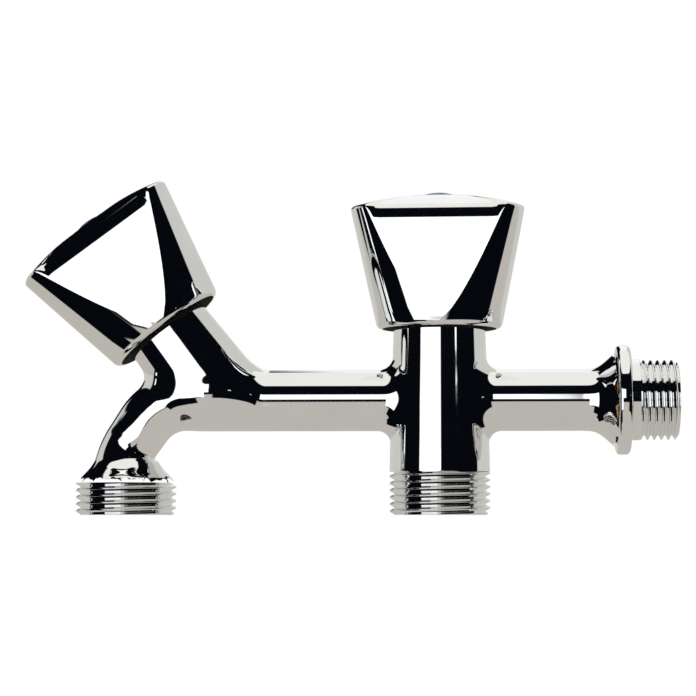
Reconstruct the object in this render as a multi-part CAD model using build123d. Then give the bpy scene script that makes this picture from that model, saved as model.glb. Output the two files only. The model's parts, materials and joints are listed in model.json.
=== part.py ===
"""Double outlet tap: a chrome plated brass casting with two screw-down valves.

The tap screws into a wall elbow with its inlet thread. The tube behind the wall flange
first crosses an upright barrel, which has a valve on top and a hose outlet below. It
then ends at a second barrel, which leans away from the wall and feeds a bent arm with
the other hose outlet. Both barrels take the same headwork: the spindle turns without
rising, and its left-hand thread lifts a jumper that carries the rubber valve washer.

The origin is where the tube's axis passes the wall side of the flange. +X runs into the
wall, +Z is up, and the hose outlets end in the plane that the tap stands on. Sizes are
in millimetres. Threads are plain cylinders at their major diameter.
"""

import os
from math import cos, pi, radians, sin

from build123d import *

os.makedirs("parts", exist_ok=True)

# Standard threads: major radii of G 1/2, G 3/4, G 3/8 and M4
inlet_thread_r = 20.955 / 2
outlet_thread_r = 26.441 / 2
headwork_thread_r = 16.662 / 2
screw_thread_r = 2.0

# Layout of the casting
centre_back = 49.7  # wall side of the flange to the centre valve's axis
outlet_spacing = 82.6  # between the two hose outlets
side_lean = 37.0  # the side valve leans away from the wall, in degrees
table_drop = 30.0  # tube axis down to the ends of both outlets

# Tube and arm: the arm's reach and run are measured back from the side outlet's axis
tube_r = 8.05
tube_bore_r = 5.5
arm_r = 7.8
arm_bore_r = 4.5
arm_reach = 24.9  # to the place where the side valve's axis meets the tube's
arm_run = 8.9  # to the corner where the arm leaves the tube
arm_knee_drop = 13.2  # tube axis down to the arm's second corner
arm_bend_r = 12.0
arm_knee_r = 9.0
arm_bore_inset = 0.6  # the arm's bore starts this far inside the chamber
bend_spare = 1.0  # inside radius of the bore's bend

# Inlet flange and spigot
flange_r = 14.3
flange_t = 3.6
flange_ledge = 1.5  # flat step between the flare and the rim
flange_edge_r = 1.2
flange_flare = 7.8  # length of the flare from the tube to the flange
inlet_spigot = 12.5
inlet_bore_r = 7.0
inlet_bore_depth = 18.0

# Centre barrel: a slight cone on the tube, with the outlet thread below
centre_rise = 20.3  # tube axis to the barrel's top face
centre_top_r = 12.0
centre_low_r = 13.05
centre_low_drop = 14.0
centre_thread_length = 11.3
centre_blend_r = 3.0

# Side barrel: a slight cone with a rounded foot
side_rise = 24.95
side_top_r = 11.4
side_low_r = 12.3
side_low_rise = 4.75
side_blend_r = 9.0
arm_blend_r = 3.0
blend_reach = 1.0  # spare room when the edges to blend are picked
pick_tolerance = 0.05  # on a radius or height, when edges are picked by it

# Side outlet: a bell opens out from the arm's neck to the thread
side_thread_length = 8.4
bell_top_r = 7.0
bell_top_drop = 12.0
bell_middle_r = 9.0
bell_middle_drop = 16.9
bell_rim_inset = 0.3  # from the thread's outside
bell_blend_r = 6.0

# Outlets and barrel mouths
outlet_bore_r = 8.5
centre_bore_depth = 16.5
side_bore_depth = 8.5
bore_roof = 3.2  # height of the cone that closes an outlet bore
thread_chamfer = 1.1
mouth_chamfer = 0.5

# Headwork: heights are from the barrel's top face, which the seal lies on
fit_gap = 0.05  # between pieces that screw or fit together
running_gap = 0.05  # round the spindle's shaft
slide_gap = 0.3  # round the jumper
seal_t = 1.5
seal_inset = 0.6  # from the side barrel's outside
shank_length = 9.0
nose_r = 8.0
nose_length = 1.8
collar_flange_r = 10.6
collar_flange_t = 1.8
spanner_flats = 17.0
spanner_h = 6.0
neck_r = 6.5
neck_h = 4.2
guide_flats = 11.0
guide_roof = 1.5

# Valve seat and chamber
seat_depth = 20.0  # barrel's top face to the seat
seat_bore_r = 4.8
seat_ring_r = 6.6
seat_chamfer = 0.8
chamber_r = 9.0
centre_seat_h = 6.8  # seat above the chamber's floor
side_seat_h = 1.2

# Spindle
spindle_r = 4.0
lead_thread_r = 3.0  # left-hand trapezoidal thread, 2 mm pitch
thrust_ring_t = 0.8
thrust_gap = 0.1
collar_r = 5.2
collar_t = 1.5
groove_r = 2.6
groove_w = 1.7
o_ring_heights = (4.6, 9.2)
o_ring_wire_r = 0.7
o_ring_gap = 0.02
clip_t = 0.9
clip_r = 5.8
clip_wall = 2.4
clip_slot = 2.6
clip_gap = 0.25  # between the clip and the headwork's neck
spline_r = 3.95
spline_depth = 0.5
spline_teeth = 20
spline_length = 7.6
spline_gap = 0.1
tapping_depth = 9.5

# Jumper and washer
valve_lift = 4.5
jumper_floor_t = 1.3  # under the hole for the spindle's thread
lift_spare = 0.5
lead_gap = 0.1
seat_gap = 0.02  # closed washer to seat
cup_r = 7.0
cup_back = 1.2
cup_rim = 1.6
cup_wall = 0.65
washer_t = 3.0
stud_length = 6.0
nut_flats = 7.0
nut_t = 2.4

# Handle: a round skirt grows into a rounded triangle, with a flat on each side
skirt_drop = 1.5  # below the barrel's top face
skirt_r = 16.35
head_flat = 15.8  # axis to the triangle's sides
head_corner_r = 5.5
handle_h = 31.4  # skirt to the head's rim
dome_h = 4.0
dome_shares = (1, 0.8, 0.6, 0.4, 0.15)  # of the rim, where the dome has its sections
corner_azimuths = (90, 210, 330)
corner_spacing = 120
handle_turns = {"centre": -2.6, "side": 2.6}  # degrees from a flat facing the room, at rest
rim_blend_r = 1.5
skirt_edge_r = 0.5
handle_wall = 2.4
handle_roof_t = 4.0
boss_r = 7.0
boss_clear = 0.8  # between the boss and the clip
shoulder_t = 2.8
rib_t = 2.0
rib_rise = 8.0  # ribs start this far above the boss's lower end

# Handle screw and index cap
screw_head_r = 3.5
screw_head_h = 2.6
screw_length = 11.0
screw_play = 0.2
screw_slot_w = 1.0
screw_slot_d = 1.2
index_r = 4.0
index_proud = 0.7
index_plate = 2.0
index_stem = 5.0
index_wall = 1.0

# Places worked out from the sizes above
centre_x = -centre_back
side_outlet_x = centre_x - outlet_spacing
side_x = side_outlet_x + arm_reach
centre_thread_top = centre_thread_length - table_drop
side_thread_top = side_thread_length - table_drop
collar_top = guide_roof - thrust_ring_t - thrust_gap
collar_bottom = collar_top - collar_t
jumper_top = collar_bottom - slide_gap - valve_lift
flange_top = seal_t + collar_flange_t
spanner_top = flange_top + spanner_h
neck_top = spanner_top + neck_h
clip_low = neck_top + clip_gap
spline_low = clip_low + clip_t + boss_clear - slide_gap
spindle_top = spline_low + spline_length
cup_floor = washer_t + seat_gap - seat_depth
jumper_hole_low = cup_floor + jumper_floor_t
lead_tip = jumper_hole_low + valve_lift + lift_spare
shoulder_low = spindle_top + fit_gap
shoulder_top = shoulder_low + shoulder_t
head_tip = 2 * head_flat - head_corner_r
rim_height = handle_h - skirt_drop
apex = rim_height + dome_h

centre_place = Pos(centre_x, 0, 0)
side_place = Pos(side_x, 0, 0) * Rot(0, -side_lean, 0)
valves = {
    "centre": centre_place * Pos(0, 0, centre_rise),
    "side": side_place * Pos(0, 0, side_rise),
}


def rod(radius, low, high):
    """An upright cylinder between two heights."""
    return Pos(0, 0, low) * Cylinder(radius, high - low, align=(Align.CENTER, Align.CENTER, Align.MIN))


def ring(inner, outer, low, high):
    """An upright tube between two heights."""
    return rod(outer, low, high) - rod(inner, low, high)


def hexagon(flats, low, high):
    """An upright hexagonal prism, measured across its flats."""
    outline = RegularPolygon(flats / 2, 6, major_radius=False)
    return Pos(0, 0, low) * extrude(outline, high - low)


def turned(points):
    """A solid turned about Z from its (radius, height) outline."""
    return revolve(Plane.XZ * make_face(Polyline(*points, close=True)), Axis.Z)


def edges_within(shape, low, high):
    """The edges of a shape that lie in a box from corner to corner."""
    found = []
    for edge in shape.edges():
        span = edge.bounding_box()
        above = all(a < b for a, b in zip(low, tuple(span.min)))
        below = all(a > b for a, b in zip(high, tuple(span.max)))
        if above and below:
            found.append(edge)
    return found


def cast_centre_barrel():
    """The tube and the upright barrel on it, blended where they meet."""
    tube = Pos(side_x, 0, 0) * Rot(0, 90, 0) * rod(tube_r, 0, -side_x - flange_t)
    outline = [
        (0, centre_rise),
        (centre_top_r, centre_rise),
        (centre_low_r, -centre_low_drop),
        (centre_low_r, centre_thread_top),
        (0, centre_thread_top),
    ]
    cross = tube + centre_place * turned(outline)
    across = centre_low_r + blend_reach
    near_tube = tube_r + blend_reach
    edges = edges_within(
        cross,
        (centre_x - across, -near_tube, -near_tube),
        (centre_x + across, near_tube, near_tube),
    )
    meeting = [edge for edge in edges if edge.geom_type == GeomType.BSPLINE]
    return cross.fillet(centre_blend_r, meeting)


def cast_side_barrel():
    """The leaning barrel: a cone that ends in a rounded foot inside the tube."""
    top = (side_top_r, side_rise)
    low = (side_low_r, side_low_rise)
    foot = (0, side_low_rise - side_low_r)
    slope = (low[0] - top[0], low[1] - top[1])
    outline = Line((0, side_rise), top) + Line(top, low) + TangentArc(low, foot, tangent=slope)
    outline += Line(foot, (0, side_rise))
    return side_place * revolve(Plane.XZ * make_face(outline), Axis.Z)


def cast_arm():
    """The bent arm that hangs from the tube's end."""
    corners = [
        (side_x, 0, 0),
        (side_outlet_x + arm_run, 0, 0),
        (side_outlet_x, 0, -arm_knee_drop),
        (side_outlet_x, 0, side_thread_top),
    ]
    path = FilletPolyline(*corners, radius=(arm_bend_r, arm_knee_r))
    return sweep(Plane(origin=path @ 0, z_dir=path % 0) * Circle(arm_r), path=path)


def cast_bell():
    """The bell between the arm's neck and the side outlet's thread."""
    top = (bell_top_r, -bell_top_drop)
    middle = (bell_middle_r, -bell_middle_drop)
    rim = (outlet_thread_r - bell_rim_inset, side_thread_top)
    outline = Line((0, top[1]), top) + ThreePointArc(top, middle, rim)
    outline += Polyline(rim, (0, side_thread_top), (0, top[1]))
    return Pos(side_outlet_x, 0, 0) * revolve(Plane.XZ * make_face(outline), Axis.Z)


def cast_inlet():
    """The flared wall flange and the spigot with the inlet thread, along +X."""
    flare_low = (tube_r, -flange_t - flange_flare)
    flare_high = (flange_r - flange_ledge, -flange_t)
    outline = Line((0, flare_low[1]), flare_low) + TangentArc(flare_low, flare_high, tangent=(0, 1))
    outline += Polyline(flare_high, (flange_r, -flange_t), (flange_r, 0), (0, 0), (0, flare_low[1]))
    flange = revolve(Plane.XZ * make_face(outline), Axis.Z)
    rims = [edge for edge in flange.edges() if edge.geom_type == GeomType.CIRCLE]
    rims = [edge for edge in rims if abs(edge.radius - flange_r) < pick_tolerance]
    flange = flange.fillet(flange_edge_r, rims)
    return Rot(0, 90, 0) * (flange + threaded(inlet_thread_r, -flange_t, inlet_spigot))


def threaded(radius, low, end):
    """A spigot from one height to its chamfered end, which may lie above or below."""
    run = end - low
    lead = thread_chamfer if run > 0 else -thread_chamfer
    return turned([(0, low), (radius, low), (radius, end - lead), (radius - thread_chamfer, end), (0, end)])


def outlet_hollow(depth, top_r):
    """An outlet's bore from the standing plane up, closed by a cone to a smaller bore."""
    roof = depth - table_drop
    return turned([
        (0, -table_drop),
        (outlet_bore_r + mouth_chamfer, -table_drop),
        (outlet_bore_r, mouth_chamfer - table_drop),
        (outlet_bore_r, roof),
        (top_r, roof + bore_roof),
        (0, roof + bore_roof),
    ])


def headwork_hollow(rise, seat_h):
    """The barrel's threaded mouth and the chamber round the jumper."""
    seat = rise - seat_depth
    mouth = turned([
        (0, rise - shank_length),
        (headwork_thread_r + fit_gap, rise - shank_length),
        (headwork_thread_r + fit_gap, rise - mouth_chamfer),
        (headwork_thread_r + fit_gap + mouth_chamfer, rise),
        (0, rise),
    ])
    return mouth + rod(chamber_r, seat - seat_h, rise - shank_length)


def seat_ring(rise, seat_h):
    """The raised ring that the valve washer closes on."""
    seat = rise - seat_depth
    return turned([
        (seat_bore_r, seat - seat_h),
        (seat_bore_r, seat),
        (seat_ring_r - seat_chamfer, seat),
        (seat_ring_r, seat - seat_chamfer),
        (seat_ring_r, seat - seat_h),
    ])


def supply_hollow():
    """The way from the inlet, through the centre chamber, to the side valve's seat."""
    tube_bore = Rot(0, 90, 0) * rod(tube_bore_r, side_x, 0) + Pos(side_x, 0, 0) * Sphere(tube_bore_r)
    step = inlet_spigot - inlet_bore_depth
    inlet_bore = turned([
        (0, step),
        (tube_bore_r, step),
        (inlet_bore_r, step + inlet_bore_r - tube_bore_r),
        (inlet_bore_r, inlet_spigot),
        (0, inlet_spigot),
    ])
    return tube_bore + Rot(0, 90, 0) * inlet_bore + side_place * rod(seat_bore_r, 0, side_rise - seat_depth)


def arm_hollow():
    """The way from the side chamber down the arm to the side outlet."""
    floor = side_rise - seat_depth - side_seat_h
    start = side_place * Pos(arm_bore_inset - chamber_r, 0, floor + arm_bore_r)
    corners = [
        tuple(start.position),
        (side_outlet_x, 0, -arm_knee_drop),
        (side_outlet_x, 0, side_bore_depth - table_drop),
    ]
    path = FilletPolyline(*corners, radius=arm_bore_r + bend_spare)
    bore = sweep(Plane(origin=path @ 0, z_dir=path % 0) * Circle(arm_bore_r), path=path)
    return bore + Pos(side_outlet_x, 0, 0) * outlet_hollow(side_bore_depth, arm_bore_r)


def make_valve_body():
    """The casting with its blends, threads, mouths, seats and waterways."""
    body = cast_centre_barrel() + cast_side_barrel()
    near_tube = tube_r + blend_reach
    right_side = (side_x + side_low_r + blend_reach, near_tube, near_tube)
    meeting = edges_within(body, (side_x - side_low_r, -near_tube, -near_tube), right_side)
    body = body.fillet(side_blend_r, [edge for edge in meeting if edge.geom_type == GeomType.BSPLINE])

    body += cast_arm()
    far_left = side_outlet_x - outlet_thread_r
    near_foot = side_x - tube_bore_r
    left_side = (far_left, -near_tube, side_bore_depth - table_drop)
    meeting = edges_within(body, left_side, (near_foot, near_tube, near_tube))
    body = body.fillet(arm_blend_r, [edge for edge in meeting if edge.geom_type == GeomType.BSPLINE])

    body += cast_bell()
    meeting = edges_within(
        body,
        (far_left, -near_tube, -bell_middle_drop),
        (side_outlet_x + outlet_thread_r, near_tube, -bell_top_drop),
    )
    body = body.fillet(bell_blend_r, [edge for edge in meeting if edge.geom_type == GeomType.BSPLINE])

    body += cast_inlet()
    body += centre_place * threaded(outlet_thread_r, centre_thread_top, -table_drop)
    body += Pos(side_outlet_x, 0, 0) * threaded(outlet_thread_r, side_thread_top, -table_drop)

    centre_floor = centre_rise - seat_depth - centre_seat_h
    body -= supply_hollow()
    body -= centre_place * headwork_hollow(centre_rise, centre_seat_h)
    body -= side_place * headwork_hollow(side_rise, side_seat_h)
    body -= centre_place * outlet_hollow(centre_bore_depth, seat_bore_r)
    body -= centre_place * rod(seat_bore_r, centre_bore_depth - table_drop, centre_floor)
    body -= arm_hollow()
    body += centre_place * seat_ring(centre_rise, centre_seat_h)
    body += side_place * seat_ring(side_rise, side_seat_h)
    return body


def make_headwork_body():
    """The screwed-in housing: shank, nose, flange, spanner hexagon and neck."""
    nose_end = -shank_length - nose_length
    outside = rod(headwork_thread_r, -shank_length, seal_t)
    outside += rod(nose_r, nose_end, -shank_length)
    outside += rod(collar_flange_r, seal_t, flange_top)
    outside += hexagon(spanner_flats, flange_top, spanner_top)
    outside += rod(neck_r, spanner_top, neck_top)
    guide = hexagon(guide_flats, nose_end, guide_roof)
    return outside - guide - rod(spindle_r + running_gap, guide_roof, neck_top)


def make_headwork_seal():
    """The flat seal between the barrel and the headwork's flange."""
    return ring(headwork_thread_r + fit_gap, side_top_r - seal_inset, 0, seal_t)


def make_thrust_ring():
    """The slip ring that the spindle's collar pushes against when the valve closes."""
    return ring(spindle_r + thrust_gap, collar_r, guide_roof - thrust_ring_t, guide_roof)


def splined(tip_r, low, high):
    """A toothed prism with straight-sided teeth."""
    outline = []
    for tooth in range(spline_teeth):
        turn = 2 * pi * tooth / spline_teeth
        half = pi / spline_teeth
        root_r = tip_r - spline_depth
        outline.append((tip_r * cos(turn), tip_r * sin(turn)))
        outline.append((root_r * cos(turn + half), root_r * sin(turn + half)))
    return Pos(0, 0, low) * extrude(make_face(Polyline(*outline, close=True)), high - low)


def make_spindle():
    """The stem that turns without rising: splines, shaft, collar and lead thread."""
    stem = rod(spindle_r, collar_bottom, spline_low)
    stem += rod(collar_r, collar_bottom, collar_top)
    stem += rod(lead_thread_r, lead_tip, collar_bottom)
    stem += splined(spline_r, spline_low, spindle_top)
    for height in o_ring_heights:
        stem -= ring(groove_r, collar_r, height - groove_w / 2, height + groove_w / 2)
    clip_seat = clip_r - clip_wall - fit_gap
    stem -= ring(clip_seat, collar_r, clip_low - fit_gap, clip_low + clip_t + fit_gap)
    return stem - rod(screw_thread_r, spindle_top - tapping_depth, spindle_top)


def make_spindle_o_rings():
    """The two rings that keep the water below the handle."""
    wire_centre = groove_r + o_ring_wire_r + o_ring_gap
    return [Pos(0, 0, height) * Torus(wire_centre, o_ring_wire_r) for height in o_ring_heights]


def make_spindle_clip():
    """The open ring that keeps the spindle from dropping into the chamber."""
    full = ring(clip_r - clip_wall, clip_r, clip_low, clip_low + clip_t)
    slot = Pos(0, clip_r, clip_low + clip_t / 2) * Box(clip_slot, 2 * clip_r, 2 * clip_t)
    return full - slot


def make_jumper():
    """The sliding nut: a hexagon that can't turn, the washer's cup and its stud."""
    body = hexagon(guide_flats - 2 * slide_gap, cup_floor, jumper_top)
    body += rod(cup_r, cup_floor, cup_floor + cup_back)
    body += ring(cup_r - cup_wall, cup_r, cup_floor - cup_rim, cup_floor)
    body += rod(screw_thread_r, cup_floor - stud_length, cup_floor)
    return body - rod(lead_thread_r + lead_gap, jumper_hole_low, jumper_top)


def make_valve_washer():
    """The rubber disc that closes on the seat."""
    return ring(screw_thread_r + fit_gap, cup_r - cup_wall - fit_gap, cup_floor - washer_t, cup_floor)


def make_washer_nut():
    """The nut under the washer, small enough to enter the seat's bore."""
    low = cup_floor - washer_t - nut_t
    return hexagon(nut_flats, low, low + nut_t) - rod(screw_thread_r + fit_gap, low, low + nut_t)


def head_corners(height, inset):
    """The arcs of the handle's three corners at a height: thirds of the round skirt below."""
    share = (height + skirt_drop) / handle_h
    radius = skirt_r + (head_corner_r - skirt_r) * share - inset
    reach = 2 * (head_flat - head_corner_r) * share
    arcs = []
    for azimuth in corner_azimuths:
        centre = (reach * cos(radians(azimuth)), reach * sin(radians(azimuth)), height)
        arcs.append(Pos(*centre) * CenterArc((0, 0), radius, azimuth - corner_spacing / 2, corner_spacing))
    return arcs


def handle_form(inset, top):
    """The solid from the skirt to a height, with three flats and three conical corners."""
    low_arcs = head_corners(-skirt_drop, inset)
    high_arcs = head_corners(top, inset)
    next_arcs = high_arcs[1:] + high_arcs[:1]
    faces = []
    rim = []
    for low, high, after in zip(low_arcs, high_arcs, next_arcs):
        faces.append(Face.make_surface_from_curves(low.edge(), high.edge()))
        faces.append(make_face(Polyline(low @ 1, high @ 1, after @ 0, close=True)).face())
        rim += [high.edge(), Line(high @ 1, after @ 0).edge()]
    faces.append(Face(Wire([arc.edge() for arc in low_arcs])))
    faces.append(Face(Wire(rim)))
    return Solid(Shell(faces))


def head_section(form, share):
    """The rim's outline on its way up the dome: 1 at the rim, nearly 0 at the middle."""
    rim = form.faces().sort_by(Axis.Z)[-1]
    height = apex - dome_h * share**2
    return Pos(0, 0, height - share * rim_height) * scale(rim, by=share)


def handle_outside():
    """The form under a low dome that springs from its level rim, with soft edges."""
    form = handle_form(0, rim_height)
    form += loft([head_section(form, share) for share in dome_shares])
    rims = [edge for edge in form.edges() if abs(edge.center().Z - rim_height) < pick_tolerance]
    form = form.fillet(rim_blend_r, rims)
    skirt_edge = [edge for edge in form.edges() if edge.bounding_box().max.Z < pick_tolerance - skirt_drop]
    return form.fillet(skirt_edge_r, skirt_edge)


def make_handle():
    """The hollow handle with its splined boss, ribs and the well for screw and cap."""
    outside = handle_outside()
    hollow = handle_form(handle_wall, rim_height - handle_roof_t)
    boss_low = clip_low + clip_t + boss_clear
    inner = rod(boss_r, boss_low, apex)
    for azimuth in corner_azimuths:
        rib = Pos(head_tip / 2, 0, boss_low + rib_rise + head_tip / 2) * Box(head_tip, rib_t, head_tip)
        inner += Rot(0, 0, azimuth) * rib
    handle = outside - hollow + (hollow & inner)
    handle -= splined(spline_r + spline_gap, boss_low, shoulder_low)
    handle -= rod(screw_thread_r + screw_play, shoulder_low, shoulder_top)
    return handle - rod(index_r + fit_gap, shoulder_top, apex)


def make_handle_screw():
    """The slotted screw that holds the handle on the spindle."""
    head = rod(screw_head_r, shoulder_top, shoulder_top + screw_head_h)
    slot_height = shoulder_top + screw_head_h - screw_slot_d / 2
    head -= Pos(0, 0, slot_height) * Box(3 * screw_head_r, screw_slot_w, screw_slot_d)
    return head + rod(screw_thread_r - fit_gap, shoulder_top - screw_length, shoulder_top)


def make_index_cap():
    """The coloured button that hides the screw, pushed into the handle's well."""
    top = apex + index_proud
    shoulder = (index_r, apex)
    plate_low = apex - index_plate
    stem_low = apex - index_stem
    outline = TangentArc((0, top), shoulder, tangent=(1, 0))
    outline += Polyline(
        shoulder,
        (index_r, stem_low),
        (index_r - index_wall, stem_low),
        (index_r - index_wall, plate_low),
        (0, plate_low),
        (0, top),
    )
    return revolve(Plane.XZ * make_face(outline), Axis.Z)


export_step(make_valve_body(), "parts/valve_body.step")

pieces = {
    "headwork_body": make_headwork_body(),
    "headwork_seal": make_headwork_seal(),
    "thrust_ring": make_thrust_ring(),
    "spindle": make_spindle(),
    "spindle_o_rings": Compound(make_spindle_o_rings()),
    "spindle_clip": make_spindle_clip(),
    "jumper": make_jumper(),
    "valve_washer": make_valve_washer(),
    "washer_nut": make_washer_nut(),
    "handle": make_handle(),
    "handle_screw": make_handle_screw(),
    "index_cap": make_index_cap(),
}
turning = ("spindle", "spindle_o_rings", "spindle_clip", "handle", "handle_screw", "index_cap")
for valve, place in valves.items():
    for name, piece in pieces.items():
        turn = Rot(0, 0, handle_turns[valve]) if name in turning else Rot(0, 0, 0)
        export_step(place * turn * piece, f"parts/{valve}_{name}.step")
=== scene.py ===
# %% [markdown]
# # A chrome double outlet tap
#
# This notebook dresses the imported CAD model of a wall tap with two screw-down valves.
# The CAD gives every size and place. Blender gives the looks: the polished casting
# with its soft blends, the cut threads, the handles, and the studio that the chrome
# mirrors. Everything is in metres, +Z is up, and +X runs into the wall.

import json
from math import acos, atan, cos, degrees, pi, radians, sin, sqrt, tan

import bmesh
import bpy
import numpy as np
from mathutils import Matrix, Vector


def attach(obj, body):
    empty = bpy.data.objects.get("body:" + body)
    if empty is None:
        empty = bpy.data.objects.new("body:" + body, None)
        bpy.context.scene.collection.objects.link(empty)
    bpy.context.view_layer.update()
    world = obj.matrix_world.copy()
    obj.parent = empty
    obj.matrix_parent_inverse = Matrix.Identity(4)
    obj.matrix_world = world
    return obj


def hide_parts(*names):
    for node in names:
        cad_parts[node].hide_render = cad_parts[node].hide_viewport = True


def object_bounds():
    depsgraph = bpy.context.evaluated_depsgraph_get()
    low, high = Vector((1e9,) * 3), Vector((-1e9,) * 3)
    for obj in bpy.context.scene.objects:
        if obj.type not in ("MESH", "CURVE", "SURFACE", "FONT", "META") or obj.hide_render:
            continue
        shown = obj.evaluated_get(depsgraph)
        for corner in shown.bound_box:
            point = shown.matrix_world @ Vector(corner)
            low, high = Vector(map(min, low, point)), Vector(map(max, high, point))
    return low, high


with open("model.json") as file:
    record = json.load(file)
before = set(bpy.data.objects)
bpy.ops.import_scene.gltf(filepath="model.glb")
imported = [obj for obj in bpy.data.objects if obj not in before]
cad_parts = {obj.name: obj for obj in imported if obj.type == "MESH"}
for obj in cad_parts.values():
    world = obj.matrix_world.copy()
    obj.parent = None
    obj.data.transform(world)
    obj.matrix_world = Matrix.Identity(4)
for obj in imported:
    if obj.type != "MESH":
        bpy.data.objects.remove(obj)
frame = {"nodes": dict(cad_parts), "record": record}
mm = 0.001


def plain(box):
    """A box as two lists of plain numbers."""
    return [[float(number) for number in corner] for corner in box]


cad_box = plain(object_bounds())
print("CAD box", cad_box)

# %% [markdown]
# ## Camera
#
# The tap is photographed from the side, a little from below and slightly from the
# right, with a long lens. A wide lens would bend the tube's straight edges apart, so
# the camera stands more than half a metre away. Its place comes from the way the two
# outlets, the handles and the flange line up in the picture.

# %% Set the camera
camera_place = Vector((-0.0455, -0.617, -0.0300))
camera_turn = radians(2.624)
camera_tilt = radians(4.063)
camera_data = bpy.data.cameras.new("camera")
camera_data.sensor_width = 36.0
camera_data.lens = 121.54
camera_data.clip_start = 0.01
camera = bpy.data.objects.new("camera", camera_data)
bpy.context.scene.collection.objects.link(camera)
camera.location = camera_place
camera.rotation_euler = (pi / 2 + camera_tilt, 0.0, camera_turn)
bpy.context.scene.camera = camera
print("camera at", list(camera_place), "lens", camera_data.lens)


# %% [markdown]
# ## Small helpers for materials
#
# A material here is a handful of linked nodes. Naming each link in full makes long
# cells, so one helper adds a node and sets or links its inputs, and the others use it
# for a sum, a ramp or a mix.


# %% Node helpers
white = (1.0, 1.0, 1.0, 1.0)


def find_input(node, name):
    """A node's input by its name, or by its number when that is i0, i1 and so on."""
    if name[0] == "i" and name[1:].isdigit():
        return node.inputs[int(name[1:])]
    return node.inputs[name.replace("_", " ")]


def add_node(tree, kind, settings=None, **inputs):
    """Adds a node, sets its properties, and sets or links its inputs by name."""
    node = tree.nodes.new(kind)
    for name, value in (settings or {}).items():
        setattr(node, name, value)
    for name, value in inputs.items():
        socket = find_input(node, name)
        if isinstance(value, bpy.types.NodeSocket):
            tree.links.new(value, socket)
        else:
            socket.default_value = value
    return node


def calculate(tree, operation, *values):
    """One Math node; each value is a number or a socket."""
    inputs = {f"i{number}": value for number, value in enumerate(values)}
    return add_node(tree, "ShaderNodeMath", {"operation": operation}, **inputs).outputs[0]


def ramp_between(tree, value, low, high):
    """Goes smoothly from 0 to 1 while the value goes from low to high."""
    smooth = {"interpolation_type": "SMOOTHSTEP"}
    node = add_node(tree, "ShaderNodeMapRange", smooth, i0=value, i1=low, i2=high, i3=0.0, i4=1.0)
    return node.outputs[0]


def blend_colour(tree, share, low, high):
    """Mixes two colours; each is a tuple or a socket."""
    node = add_node(tree, "ShaderNodeMix", {"data_type": "RGBA"}, i0=share, i6=low, i7=high)
    return node.outputs[2]


def blend_value(tree, share, low, high):
    """Mixes two numbers, each of them a socket."""
    node = add_node(tree, "ShaderNodeMix", {"data_type": "FLOAT"}, i0=share, i2=low, i3=high)
    return node.outputs[0]


# %% [markdown]
# ## The studio that the chrome mirrors
#
# Polished chrome has hardly any colour of its own. Its look is the room around it: a
# bright panel in front on the left, dark walls on both sides, a white ceiling, a warm
# grey table, and a pale backdrop. More dark cards lie low on the left and hang high
# behind it, and small lamps far left and on the right give the short glints. All this
# could be real objects, but from every side the tap must find the same clean studio,
# so the room is painted on the world by direction, in degrees: azimuth 0 is where the
# camera stands, and the left is negative.
#
# The camera itself sees plain white, and the light on dull surfaces is an even one.


# %% Paint the studio
def studio_patch(tree, azimuth, height, left, right, low, high, soft):
    """A rectangle of the studio's walls, 1 inside and 0 outside, in degrees."""
    sides = [
        ramp_between(tree, azimuth, left - soft, left + soft),
        ramp_between(tree, azimuth, right + soft, right - soft),
        ramp_between(tree, height, low - soft, low + soft),
        ramp_between(tree, height, high + soft, high - soft),
    ]
    share = sides[0]
    for side in sides[1:]:
        share = calculate(tree, "MULTIPLY", share, side)
    return share


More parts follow.
